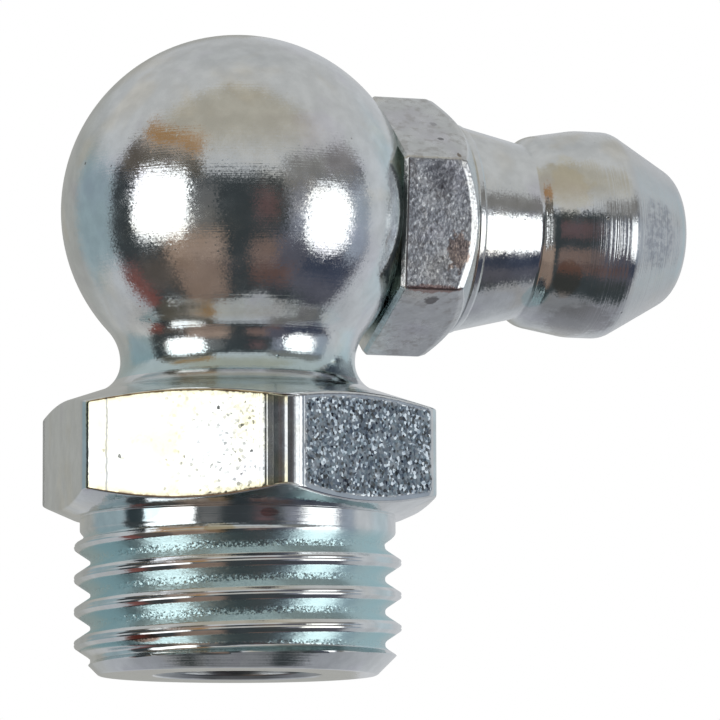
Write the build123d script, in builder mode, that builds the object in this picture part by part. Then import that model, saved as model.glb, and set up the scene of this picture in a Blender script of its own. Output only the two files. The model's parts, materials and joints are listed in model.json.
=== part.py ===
"""Right-angle grease nipple: a ball-bodied fitting with a screwed-in lubrication head.

Origin: the shank's axis, level with the underside of the spanner hex. +Z runs up
through the ball and +X runs along the lubrication head. All sizes are in millimetres.
"""

from build123d import *
from math import asin, cos, degrees, radians, sin, sqrt, tan
import os

os.makedirs("parts", exist_ok=True)

# ---- driving dimensions: threaded shank ----
thread_d = 10.0  # major diameter of M10 x 1; the helix itself is left to the finish
runout_d = 9.65  # plain runout collar under the hex
runout_length = 0.73
shank_length = 4.8
shank_chamfer = 0.75  # 45 degree lead at the free end

# ---- driving dimensions: spanner hex ----
hex_af = 11.0  # across flats
hex_height = 3.44  # up to the middle of each flat's top edge
hex_corner_round = 0.6
hex_seat_d = 10.16  # flat ring left by the underside chamfer
hex_under_slope = 24.0
hex_top_slope = 18.5
hex_turn = -4.0  # turn of the flats from the head's direction

# ---- driving dimensions: neck and ball ----
waist_d = 7.2
neck_foot_radius = 1.0
neck_top_radius = 1.5
ball_d = 10.86

# ---- driving dimensions: grease way in the body ----
outlet_d = 4.9
outlet_depth = 8.0
outlet_chamfer = 0.15
feed_d = 3.0
drill_half_angle = 59.0

# ---- driving dimensions: seat of the head in the ball ----
head_axis_drop = 0.25  # head axis below the middle of the ball
seat_reach = 4.2  # shank axis to the spot face
screw_d = 6.0
screw_length = 2.9
screw_lead = 0.4
screw_gap = 0.03  # radial room round the screwed tail
tap_run = 0.5  # hole carried on past the end of the screw

# ---- driving dimensions: lubrication head ----
collar_af = 7.0  # across flats
collar_length = 2.32  # spot face to the middle of each flat's front edge
collar_corner_round = 0.15
collar_turn = 5.8  # where the flats stopped when the screw came tight
collar_back_chamfer = 0.12
collar_front_angle = 52.0  # front cut, measured from the head's axis
cut_overrun = 1.0  # how far a turned cut runs out past a hexagon's corners
cone_length = 2.1
cone_angle = 13.0
groove_depth = 0.5  # narrowest place, below the knob
groove_radius = 2.6
knob_d = 6.5
knob_length = 1.06
nose_length = 2.35
nose_angle = 30.0
tip_round = 1.0

# ---- driving dimensions: check valve ----
check_ball_d = 2.0
valve_bore_d = 2.4
valve_seat_angle = 45.0  # half angle of the conical seat
mouth_d = 1.2
mouth_land = 0.25
seat_gap = 0.03
wire_d = 0.3
wire_sides = 5  # the fine wire is drawn with flats, round enough at this size
coil_d = 1.7  # mean diameter of the spring
coil_turns = 4
coil_gap = 1.1  # free gap between neighbouring turns
spring_gap = 0.05  # room at each end of the spring
stake_d = 1.3  # opening of the staked lip that holds the spring
stake_length = 0.5
counterbore_d = 3.4


def corner_radius(flats, rounding):
    """Distance from a hexagon's centre to its rounded corner."""
    return (flats / 2 - rounding) / cos(radians(30)) + rounding


def drill_tip(radius):
    """Depth of a drill's point."""
    return radius / tan(radians(drill_half_angle))


# ---- angle body: shank, hex, neck and ball in one piece ----
thread_r = thread_d / 2
hex_r = hex_af / 2
hex_reach = corner_radius(hex_af, hex_corner_round) + cut_overrun
hex_drop = tan(radians(hex_top_slope))
hex_peak = hex_height + hex_r * hex_drop
seat_r = hex_seat_d / 2
under_rise = (hex_reach - seat_r) * tan(radians(hex_under_slope))

waist_r = waist_d / 2
foot_r = waist_r + neck_foot_radius * (1 - sin(radians(hex_top_slope)))
foot_z = hex_peak - foot_r * hex_drop
waist_z = foot_z + neck_foot_radius * cos(radians(hex_top_slope))
ball_r = ball_d / 2
arc_centres = ball_r + neck_top_radius
ball_z = waist_z + sqrt(arc_centres**2 - (waist_r + neck_top_radius) ** 2)
neck_lean = degrees(asin((ball_z - waist_z) / arc_centres))

outlet_r = outlet_d / 2
outlet_top = outlet_depth - shank_length
feed_r = feed_d / 2
head_z = ball_z - head_axis_drop
head_axis = Axis((0, 0, head_z), (1, 0, 0))
head_side = Plane(origin=(0, 0, head_z), x_dir=(1, 0, 0), z_dir=(0, -1, 0))
head_end = Plane(origin=(0, 0, head_z), x_dir=(0, 1, 0), z_dir=(1, 0, 0))
hole_r = screw_d / 2 + screw_gap
hole_floor = seat_reach - screw_length - tap_run

with BuildPart() as angle_body:
    # spanner hex, turned conical above and below
    with BuildSketch():
        RegularPolygon(hex_r, 6, major_radius=False, rotation=30 + hex_turn)
        fillet(vertices(), hex_corner_round)
    extrude(amount=hex_peak)
    with BuildSketch(Plane.XZ):
        with BuildLine():
            Polyline(
                (0, 0),
                (seat_r, 0),
                (hex_reach, under_rise),
                (hex_reach, hex_peak - hex_reach * hex_drop),
                (0, hex_peak),
                close=True,
            )
        make_face()
    revolve(axis=Axis.Z, mode=Mode.INTERSECT)

    # ball running into the waist, and the waist into the hex
    with BuildSketch(Plane.XZ):
        with BuildLine():
            CenterArc((0, ball_z), ball_r, 90, -90 - neck_lean)
            CenterArc(
                (waist_r + neck_top_radius, waist_z),
                neck_top_radius,
                180 - neck_lean,
                neck_lean,
            )
            CenterArc(
                (waist_r + neck_foot_radius, waist_z),
                neck_foot_radius,
                180,
                90 - hex_top_slope,
            )
            Polyline(
                (foot_r, foot_z),
                (foot_r, hex_height / 2),
                (0, hex_height / 2),
                (0, ball_z + ball_r),
            )
        make_face()
    revolve(axis=Axis.Z)

    # shank with its runout collar
    with BuildSketch(Plane.XZ):
        with BuildLine():
            Polyline(
                (0, hex_height / 2),
                (runout_d / 2, hex_height / 2),
                (runout_d / 2, -runout_length),
                (thread_r, -runout_length),
                (thread_r, shank_chamfer - shank_length),
                (thread_r - shank_chamfer, -shank_length),
                (0, -shank_length),
                close=True,
            )
        make_face()
    revolve(axis=Axis.Z)

    # grease way: wide bore up the shank, narrow feed through the waist
    with BuildSketch(Plane.XZ):
        with BuildLine():
            Polyline(
                (0, -shank_length),
                (outlet_r + outlet_chamfer, -shank_length),
                (outlet_r, outlet_chamfer - shank_length),
                (outlet_r, outlet_top),
                (feed_r, outlet_top + drill_tip(outlet_r - feed_r)),
                (feed_r, head_z),
                (0, head_z + drill_tip(feed_r)),
                close=True,
            )
        make_face()
    revolve(axis=Axis.Z, mode=Mode.SUBTRACT)

    # spot face and screw hole for the head
    with BuildSketch(head_end.offset(seat_reach)):
        Circle(ball_r)
    extrude(amount=ball_r, mode=Mode.SUBTRACT)
    with BuildSketch(head_side):
        with BuildLine():
            Polyline(
                (seat_reach, 0),
                (seat_reach, hole_r + screw_lead / 2),
                (seat_reach - screw_lead / 2, hole_r),
                (hole_floor, hole_r),
                (hole_floor - drill_tip(hole_r - feed_r), feed_r),
                (-feed_r, feed_r),
                (-feed_r - drill_tip(feed_r), 0),
                close=True,
            )
        make_face()
    revolve(axis=head_axis, mode=Mode.SUBTRACT)
angle_body.part.label = "angle_body"

# ---- nipple head: hex collar, cone, coupler groove, knob and screwed tail ----
collar_r = collar_af / 2
collar_reach = corner_radius(collar_af, collar_corner_round) + cut_overrun
front_run = 1 / tan(radians(collar_front_angle))
collar_front = seat_reach + collar_length

cone_drop = tan(radians(cone_angle))
knob_r = knob_d / 2
groove_r = knob_r - groove_depth
groove_y = groove_r + groove_radius
cone_end_r = groove_y - groove_radius * cos(radians(cone_angle))
root_r = cone_end_r + cone_length * cone_drop
root_x = collar_front + (collar_r - root_r) * front_run
groove_x = root_x + cone_length + groove_radius * sin(radians(cone_angle))
flare_angle = degrees(asin(1 - groove_depth / groove_radius))
knob_x = groove_x + groove_radius * cos(radians(flare_angle))
nose_x = knob_x + knob_length
tip_x = nose_x + nose_length
tip_r = knob_r - nose_length * tan(radians(nose_angle))

screw_r = screw_d / 2
screw_end = seat_reach - screw_length
mouth_r = mouth_d / 2
bore_r = valve_bore_d / 2
seat_x = tip_x - mouth_land
seat_tan = tan(radians(valve_seat_angle))
seat_start = seat_x - (bore_r - mouth_r) / seat_tan
valve_ball_r = check_ball_d / 2
valve_ball_x = seat_x + mouth_r / seat_tan - seat_gap
valve_ball_x -= valve_ball_r / sin(radians(valve_seat_angle))

wire_r = wire_d / 2
coil_r = coil_d / 2
coil_pitch = wire_d + coil_gap
spring_length = coil_turns * coil_pitch
spring_front = valve_ball_x - spring_gap
spring_front -= sqrt((valve_ball_r + wire_r) ** 2 - coil_r**2)
spring_back = spring_front - spring_length
stake_front = spring_back - wire_r - spring_gap
stake_back = stake_front - stake_length

with BuildPart() as nipple_head:
    # hex collar, burred off behind and cut conical in front
    with BuildSketch(head_end.offset(seat_reach)):
        RegularPolygon(collar_r, 6, major_radius=False, rotation=30 + collar_turn)
        fillet(vertices(), collar_corner_round)
    extrude(amount=root_x - seat_reach)
    chamfer(edges().group_by(Axis.X)[0], collar_back_chamfer)
    with BuildSketch(head_side):
        with BuildLine():
            Polyline(
                (seat_reach, 0),
                (seat_reach, collar_reach),
                (collar_front - (collar_reach - collar_r) * front_run, collar_reach),
                (root_x, root_r),
                (root_x, 0),
                close=True,
            )
        make_face()
    revolve(axis=head_axis, mode=Mode.INTERSECT)

    # turned outline from the screwed tail to the tip
    with BuildSketch(head_side):
        with BuildLine():
            Polyline(
                (tip_x, 0),
                (screw_end, 0),
                (screw_end, screw_r - screw_lead),
                (screw_end + screw_lead, screw_r),
                (collar_front, screw_r),
                (root_x, root_r),
                (root_x + cone_length, cone_end_r),
            )
            CenterArc(
                (groove_x, groove_y),
                groove_radius,
                270 - cone_angle,
                90 + cone_angle - flare_angle,
            )
            Polyline((knob_x, knob_r), (nose_x, knob_r), (tip_x, tip_r), (tip_x, 0))
        make_face()
    revolve(axis=head_axis)
    fillet(edges().filter_by(GeomType.CIRCLE).sort_by(Axis.X)[-1], tip_round)

    # valve chamber: mouth, conical seat, bore, staked lip and counterbore
    with BuildSketch(head_side):
        with BuildLine():
            Polyline(
                (tip_x, 0),
                (tip_x, mouth_r),
                (seat_x, mouth_r),
                (seat_start, bore_r),
                (stake_front, bore_r),
                (stake_front, stake_d / 2),
                (stake_back, stake_d / 2),
                (stake_back, counterbore_d / 2),
                (screw_end, counterbore_d / 2),
                (screw_end, 0),
                close=True,
            )
        make_face()
    revolve(axis=head_axis, mode=Mode.SUBTRACT)
nipple_head.part.label = "nipple_head"

# ---- check ball, sprung against the conical seat ----
with BuildPart(head_end.offset(valve_ball_x)) as check_ball:
    Sphere(valve_ball_r)
check_ball.part.label = "check_ball"

# ---- ball spring, an open coil between the staked lip and the ball ----
with BuildPart() as ball_spring:
    with BuildLine() as coil:
        Helix(
            coil_pitch,
            spring_length,
            coil_r,
            center=(spring_back, 0, head_z),
            direction=(1, 0, 0),
        )
    with BuildSketch(Plane(origin=coil.line @ 0, z_dir=coil.line % 0)):
        RegularPolygon(wire_r, wire_sides)
    sweep(is_frenet=True)
ball_spring.part.label = "ball_spring"

for piece in (angle_body, nipple_head, check_ball, ball_spring):
    export_step(piece.part, f"parts/{piece.part.label}.step")
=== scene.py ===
"""Right-angle grease nipple: plated finish, thread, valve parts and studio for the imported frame."""

import json
import math
from functools import partial
from types import SimpleNamespace

import bmesh
import bpy
import numpy as np
from bpy.props import FloatProperty, FloatVectorProperty, IntProperty, PointerProperty
from mathutils import Matrix, Vector


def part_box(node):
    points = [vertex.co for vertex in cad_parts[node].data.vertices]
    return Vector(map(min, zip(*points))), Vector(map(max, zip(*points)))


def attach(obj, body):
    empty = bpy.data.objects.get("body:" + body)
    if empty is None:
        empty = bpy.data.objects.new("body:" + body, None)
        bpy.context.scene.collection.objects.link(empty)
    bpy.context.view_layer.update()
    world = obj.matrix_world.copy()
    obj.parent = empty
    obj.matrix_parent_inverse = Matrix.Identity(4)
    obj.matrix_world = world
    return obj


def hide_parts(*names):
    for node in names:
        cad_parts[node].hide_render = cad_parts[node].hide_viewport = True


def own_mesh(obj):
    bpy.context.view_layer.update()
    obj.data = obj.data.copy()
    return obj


bl_info = {
    "name": "Right-angle grease nipple",
    "version": (1, 0, 0),
    "blender": (4, 5, 0),
    "location": "View3D > Sidebar > Grease nipple",
    "description": "Builds a zinc-plated right-angle grease nipple round its packed frame",
    "category": "Object",
}

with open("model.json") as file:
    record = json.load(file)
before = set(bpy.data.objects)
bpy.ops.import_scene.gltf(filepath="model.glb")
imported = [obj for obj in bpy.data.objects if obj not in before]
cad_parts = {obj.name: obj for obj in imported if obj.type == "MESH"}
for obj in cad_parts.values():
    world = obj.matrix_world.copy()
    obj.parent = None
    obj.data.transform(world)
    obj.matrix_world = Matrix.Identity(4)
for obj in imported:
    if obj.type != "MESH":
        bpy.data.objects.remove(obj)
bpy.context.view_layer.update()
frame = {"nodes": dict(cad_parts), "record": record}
MOUNTS = {mount["name"]: mount for mount in frame["record"]["mounts"]}
MM = 0.001
SIXTH = math.pi / 3  # a sixth of a turn
COLUMNS = 360  # of faces round the angle body


def millimetres(name, value, description):
    """A length property whose default is given in millimetres."""
    return FloatProperty(
        name=name, description=description, default=value * MM, unit="LENGTH", precision=5
    )


def degrees(name, value, description):
    """An angle property whose default is given in degrees."""
    return FloatProperty(
        name=name,
        description=description,
        default=math.radians(value),
        unit="ROTATION",
        subtype="ANGLE",
    )


def colour(name, value, description):
    """A linear colour property."""
    return FloatVectorProperty(
        name=name,
        description=description,
        default=value,
        size=3,
        min=0.0,
        max=1.0,
        subtype="COLOR",
    )


class NippleBody(bpy.types.PropertyGroup):
    """Sizes of the angle body. The frame gives its thread, bore and heights."""

    waist: millimetres("Waist radius", 3.6, "Narrowest place under the ball")
    foot: millimetres("Foot radius", 1.0, "Fillet from the waist into the hex")
    shoulder: millimetres("Shoulder radius", 1.5, "Fillet from the waist into the ball")
    ball: millimetres("Ball radius", 5.43, "Radius of the ball")
    hex_flat: millimetres("Hex flat", 5.5, "Shank axis to a spanner flat")
    hex_height: millimetres("Hex height", 3.44, "Underside to the middle of a flat's top edge")
    hex_corner: millimetres("Hex corner", 0.6, "Rounding of the spanner hex's corners")
    hex_seat: millimetres("Hex seat", 5.08, "Radius where the underside chamfer starts")
    hex_turn: degrees("Hex turn", -4.0, "Turn of the flats from the head's direction")
    under_slope: degrees("Underside slope", 24.0, "Chamfer under the hex")
    top_slope: degrees("Top slope", 18.5, "Cone on top of the hex")
    edge: millimetres("Edge break", 0.07, "Softening of the turned edges")
    runout: millimetres("Runout radius", 4.825, "Plain collar over the thread")
    end_chamfer: millimetres("End chamfer", 0.75, "Lead at the end of the shank")
    mouth: millimetres("Mouth chamfer", 0.15, "Chamfer of the outlet bore")
    feed: millimetres("Feed radius", 1.5, "Feed hole up the waist")
    drill: degrees("Drill point", 59.0, "Half angle of the drills' points")
    seat: millimetres("Spot face", 4.2, "Shank axis to the head's seat")
    hole: millimetres("Screw hole", 3.03, "Radius of the hole for the head")
    hole_floor: millimetres("Hole floor", 0.8, "Shank axis to the floor of the screw hole")


class NippleThread(bpy.types.PropertyGroup):
    """Sizes of the rolled thread."""

    pitch: millimetres("Pitch", 1.0, "Rise of the thread in one turn")
    depth: millimetres("Depth", 0.5, "Crest to root")
    crest: millimetres("Crest half width", 0.08, "Middle of the crest to its edge")
    flank: millimetres("Flank run", 0.33, "Length of one flank along the axis")
    seam: millimetres("Seam depth", 0.02, "Rolling seam along the crest")
    phase: millimetres("Crest height", -0.32, "Height of a crest straight under the head")
    top: millimetres("Sleeve top", -0.2, "Height where the threaded sleeve starts")
    plain: millimetres("Plain end", 0.15, "Plain cone left under the sleeve")
    fade_high: millimetres("Groove start", -0.38, "Height where the groove starts")
    fade_low: millimetres("Groove end", -0.85, "Height where the groove is at full depth")
    swell_high: millimetres("Swell start", -0.55, "Height where the crests start to rise")
    swell_low: millimetres("Swell end", -0.9, "Height where the crests are at full size")
    rows: IntProperty(
        name="Rows", description="Rows of faces in one pitch", default=24, min=8, max=48
    )


class NippleHead(bpy.types.PropertyGroup):
    """Sizes of the lubrication head and its spring. The frame gives its height and length."""

    flat: millimetres("Collar flat", 3.5, "Head axis to a collar flat")
    corner: millimetres("Collar corner", 0.15, "Rounding of the collar's corners")
    turn: degrees("Collar turn", 5.8, "Turn of the flats as the screw came tight")
    length: millimetres("Collar length", 2.32, "Seat to the middle of a flat's front edge")
    burr: millimetres("Back chamfer", 0.12, "Chamfer behind the flats")
    front: degrees("Front angle", 52.0, "Front cut, from the head's axis")
    lip: millimetres("Lip", 0.07, "Drop of the worn lip in front of the flats")
    ring: millimetres("Root ring", 0.04, "Height of the turned ring at the cone's root")
    taper: degrees("Taper", 13.0, "Slope of the tapered part")
    groove: millimetres("Groove depth", 0.5, "Coupler groove below the knob")
    barrel: millimetres("Barrel length", 1.86, "Bottom of the groove to the knob's full size")
    rise: degrees("Groove rise", 34.0, "Slope of the groove's far side")
    rise_length: millimetres("Rise length", 0.36, "Length of the groove's far side")
    blend: millimetres("Knob rounding", 0.2, "Rounding of the knob's edges")
    nose: degrees("Nose angle", 30.0, "Slope of the nose")
    tip_round: millimetres("Tip rounding", 1.0, "Rounding of the nose's end")
    mouth: millimetres("Mouth radius", 0.6, "Grease inlet")
    land: millimetres("Mouth land", 0.25, "Straight part of the inlet")
    bore: millimetres("Valve bore", 1.2, "Radius of the valve chamber")
    stake: millimetres("Stake opening", 0.65, "Radius left in the staked lip")
    stake_length: millimetres("Stake length", 0.5, "Length of the staked lip")
    stake_gap: millimetres("Stake gap", 0.05, "Room between the lip and the spring")
    counterbore: millimetres("Counterbore", 1.7, "Radius of the bore in the tail")
    screw: millimetres("Screw radius", 3.0, "Radius of the tail")
    lead: millimetres("Screw lead", 0.4, "Chamfer at the tail's end")
    wire: millimetres("Wire radius", 0.15, "Radius of the spring wire")
    coils: FloatProperty(name="Coils", description="Turns of the spring", default=4.0)


class NippleFinish(bpy.types.PropertyGroup):
    """Colours of the plating and the studio."""

    zinc: colour("Zinc", (0.80, 0.835, 0.845), "Blue-white passivated zinc")
    straw: colour("Straw", (0.83, 0.79, 0.68), "Straw-tinted plating")
    lilac: colour("Lilac", (0.74, 0.73, 0.82), "Violet-tinted plating")
    pit: colour("Pit", (0.10, 0.10, 0.10), "Bottom of a pit")
    teal: colour("Teal", (0.50, 0.70, 0.72), "Greenish blue film in hollows")
    steel: colour("Steel", (0.62, 0.62, 0.63), "Polished bearing steel")
    wire: colour("Wire", (0.48, 0.48, 0.49), "Drawn spring wire")
    floor: colour("Floor", (0.80, 0.80, 0.80), "Studio floor")


# ---- outlines: corners are (distance from the axis, place along the axis, edge break) ----


def softened(corners, steps=3):
    """Runs through the corners, turning each one that has a break on a small curve."""
    longest_share = 0.3  # of a side that a break may take up
    guard = 1.6  # keeps the shading flat up to the curve
    points = [np.array(corner[:2], float) for corner in corners]
    outline = []
    for index, here in enumerate(points):
        size = corners[index][2]
        if not size:
            outline.append(here)
            continue
        back = points[index - 1] - here
        ahead = points[(index + 1) % len(points)] - here
        first = back * min(size / np.linalg.norm(back), longest_share)
        last = ahead * min(size / np.linalg.norm(ahead), longest_share)
        outline.append(here + first * guard)
        for share in np.linspace(0, 1, steps + 1):
            outline.append(here + first * (1 - share) ** 2 + last * share**2)
        outline.append(here + last * guard)
    return outline


def arc(centre, radius, start, end, count):
    """Points on a circle, from one angle to another in radians."""
    return [
        np.array((centre[0] + radius * math.cos(angle), centre[1] + radius * math.sin(angle)))
        for angle in np.linspace(start, end, count)
    ]


def hexagon(flat, corner, angle):
    """Distance from the centre to a rounded hexagon's edge, at an angle from a flat's middle."""
    away = abs((angle + SIXTH / 2) % SIXTH - SIXTH / 2)
    reach = (flat - corner) / math.cos(SIXTH / 2)
    tangent = math.atan((flat - corner) * math.tan(SIXTH / 2) / flat)
    if away <= tangent:
        return flat / math.cos(away)
    side = SIXTH / 2 - away
    return reach * math.cos(side) + math.sqrt(corner**2 - (reach * math.sin(side)) ** 2)


def even_columns(count):
    """Angles of columns that stand evenly round an axis."""
    return np.arange(count) * 2 * math.pi / count


def corner_columns(turn):
    """Angles of columns that crowd together at a hexagon's corners."""
    near = math.radians(1.5)
    coarse = np.linspace(near, SIXTH - near, 47)
    fine = np.linspace(0, near, 5, endpoint=False)
    side = np.concatenate((fine, coarse, SIXTH - fine[:0:-1]))
    return np.concatenate([side + SIXTH * (k + 0.5) for k in range(6)]) + turn


# ---- meshes ----


def turned_shell(name, angles, outlines, zones, along_x=False, height=0.0, loop=False):
    """Skins one outline for each angle into a shell about Z, or about X at the given height."""
    grid = np.array(outlines)
    count, rows = grid.shape[:2]
    radius, along = grid[:, :, 0], grid[:, :, 1]
    wide = radius * np.cos(angles)[:, None]
    deep = radius * np.sin(angles)[:, None]
    points = (along, wide, deep + height) if along_x else (wide, deep, along)
    mesh = bpy.data.meshes.new(name)
    faces = []
    kinds = []
    for row in range(rows if loop else rows - 1):
        following = (row + 1) % rows
        for column in range(count):
            here = column * rows
            beside = (column + 1) % count * rows
            faces.append((here + row, beside + row, beside + following, here + following))
            kinds.append(zones[row])
    mesh.from_pydata(np.stack(points, axis=-1).reshape(-1, 3).tolist(), [], faces)
    mesh.polygons.foreach_set("material_index", kinds)
    return mesh


def welded(name, meshes, materials, gap=2e-6):
    """Joins shells whose rims match into closed shells with outward normals."""
    joined_up = bmesh.new()
    for mesh in meshes:
        joined_up.from_mesh(mesh)
    bmesh.ops.remove_doubles(joined_up, verts=joined_up.verts, dist=gap)
    bmesh.ops.dissolve_degenerate(joined_up, edges=joined_up.edges, dist=gap / 4)
    bmesh.ops.recalc_face_normals(joined_up, faces=joined_up.faces)
    mesh = bpy.data.meshes.new(name)
    joined_up.to_mesh(mesh)
    joined_up.free()
    for material in materials:
        mesh.materials.append(material)
    return mesh


def placed(name, mesh, sharp=35.0):
    """Puts a finished mesh in the scene as a piece, smooth but for its sharp edges."""
    mesh.shade_smooth()
    mesh.set_sharp_from_angle(angle=math.radians(sharp))
    mesh.name = name
    piece = bpy.data.objects.new(name, mesh)
    bpy.context.scene.collection.objects.link(piece)
    return piece


def evaluated_mesh(mesh, dress):
    """The plain mesh that modifiers make of a mesh, where dress adds the modifiers."""
    carrier = bpy.data.objects.new("carrier", mesh)
    bpy.context.scene.collection.objects.link(carrier)
    dress(carrier)
    bpy.context.view_layer.update()
    graph = bpy.context.evaluated_depsgraph_get()
    made = bpy.data.meshes.new_from_object(carrier.evaluated_get(graph))
    bpy.data.objects.remove(carrier)
    return made


def grown(tree, values):
    """Runs a Geometry Nodes tree with the given named inputs and returns a plain mesh."""
    sockets = {
        item.name: item.identifier
        for item in tree.interface.items_tree
        if item.item_type == "SOCKET" and item.in_out == "INPUT"
    }

    def dress(carrier):
        rule = carrier.modifiers.new("Rule", "NODES")
        rule.node_group = tree
        for label, value in values.items():
            rule[sockets[label]] = value

    return evaluated_mesh(bpy.data.meshes.new("blank"), dress)


# ---- nodes: a value handed to a helper is a number, a colour or another node's output ----

FLOAT = "NodeSocketFloat"
INTEGER = "NodeSocketInt"
VECTOR = "NodeSocketVector"
COLOUR = "NodeSocketColor"
GEOMETRY = "NodeSocketGeometry"
HALVES = (0.5, 0.5, 0.5)


def plug(tree, socket, value):
    """Links a socket to a socket, or sets its value."""
    if isinstance(value, bpy.types.NodeSocket):
        tree.links.new(value, socket)
    elif socket.type == "RGBA" and len(value) == 3:
        socket.default_value = (*value, 1.0)
    else:
        socket.default_value = value


def feed(tree, sockets, values):
    """Fills sockets by name or number."""
    for key, value in values.items():
        plug(tree, sockets[key], value)


def node(tree, kind, inputs=(), **settings):
    """Adds a node, sets its options and fills its inputs by name or number."""
    made = tree.nodes.new(kind)
    for label, value in settings.items():
        setattr(made, label, value)
    feed(tree, made.inputs, dict(inputs))
    return made


def maths(tree, operation, *values):
    """One Math node."""
    return node(tree, "ShaderNodeMath", enumerate(values), operation=operation).outputs[0]


def times(tree, first, *others):
    """Values multiplied."""
    for other in others:
        first = maths(tree, "MULTIPLY", first, other)
    return first


def plus(tree, first, second):
    """Two values added."""
    return maths(tree, "ADD", first, second)


def minus(tree, first, second):
    """One value less another."""
    return maths(tree, "SUBTRACT", first, second)


def over(tree, first, second):
    """One value divided by another."""
    return maths(tree, "DIVIDE", first, second)


def vectors(tree, operation, *values):
    """One Vector Math node."""
    made = node(tree, "ShaderNodeVectorMath", enumerate(values), operation=operation)
    return made.outputs["Value" if operation in ("LENGTH", "DOT_PRODUCT") else "Vector"]


def scaled(tree, vector, factor):
    """A vector times a number."""
    inputs = {"Vector": vector, "Scale": factor}
    return node(tree, "ShaderNodeVectorMath", inputs, operation="SCALE").outputs["Vector"]


def split(tree, vector):
    """A vector's X, Y and Z."""
    return node(tree, "ShaderNodeSeparateXYZ", {0: vector}).outputs


def joined(tree, x, y, z=0.0):
    """A vector from its X, Y and Z."""
    return node(tree, "ShaderNodeCombineXYZ", {"X": x, "Y": y, "Z": z}).outputs[0]


def ramp(tree, value, low, high, out_low=0.0, out_high=1.0, smooth=True):
    """Maps a value from one range to another, held at its ends."""
    inputs = {
        "Value": value,
        "From Min": low,
        "From Max": high,
        "To Min": out_low,
        "To Max": out_high,
    }
    kind = "SMOOTHSTEP" if smooth else "LINEAR"
    made = node(tree, "ShaderNodeMapRange", inputs, clamp=True, interpolation_type=kind)
    return made.outputs["Result"]


def noise(tree, point, scale, detail, rough=0.5, distortion=0.0, output="Fac"):
    """A cloudy noise over a surface."""
    inputs = {
        "Vector": point,
        "Scale": scale,
        "Detail": detail,
        "Roughness": rough,
        "Distortion": distortion,
    }
    return node(tree, "ShaderNodeTexNoise", inputs).outputs[output]


def lines(tree, along, scale, detail, rough=0.5):
    """A noise that changes in one direction only."""
    inputs = {"W": along, "Scale": scale, "Detail": detail, "Roughness": rough}
    return node(tree, "ShaderNodeTexNoise", inputs, noise_dimensions="1D").outputs["Fac"]


def cells_of(tree, point, spacing):
    """Random cells of a given spacing."""
    inputs = {"Vector": point, "Scale": over(tree, 1.0, spacing)}
    return node(tree, "ShaderNodeTexVoronoi", inputs).outputs


def blended(tree, share, first, second, mode="MIX"):
    """Two colours mixed."""
    colours = {0: share, 6: first, 7: second}
    return node(tree, "ShaderNodeMix", colours, data_type="RGBA", blend_type=mode).outputs[2]


def tinted(tree, tint, mask, strength, shade):
    """A colour with another laid over it where a mask says."""
    return blended(tree, times(tree, mask, strength), tint, shade)


def new_group(label, inputs, outputs, kind="ShaderNodeTree"):
    """Starts a node group whose sockets are given as kinds by name."""
    tree = bpy.data.node_groups.new(label, kind)
    for in_out, sockets in (("INPUT", inputs), ("OUTPUT", outputs)):
        for name, socket_kind in sockets.items():
            tree.interface.new_socket(name, in_out=in_out, socket_type=socket_kind)
    given = tree.nodes.new("NodeGroupInput").outputs
    return tree, given, tree.nodes.new("NodeGroupOutput").inputs


def effect(tree, label, build, inputs):
    """Places a shared effect in a material, built at its first use, and returns its outputs."""
    group = bpy.data.node_groups.get(label) or build(label)
    return node(tree, "ShaderNodeGroup", inputs, node_tree=group).outputs


# ---- Geometry Nodes rules ----


def new_rule(label, sizes, counts):
    """Starts a Geometry Nodes tree with named sizes and counts."""
    inputs = {"Geometry": GEOMETRY}
    inputs.update({size: FLOAT for size in sizes})
    inputs.update({count: INTEGER for count in counts})
    return new_group(label, inputs, {"Geometry": GEOMETRY}, "GeometryNodeTree")


def end_rule(tree, result, geometry, material):
    """Ends a tree in real geometry that has its material."""
    real = node(tree, "GeometryNodeRealizeInstances", {"Geometry": geometry})
    inputs = {"Geometry": real.outputs[0], "Material": material}
    dressed = node(tree, "GeometryNodeSetMaterial", inputs)
    feed(tree, result, {"Geometry": dressed.outputs[0]})
    return tree


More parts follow.
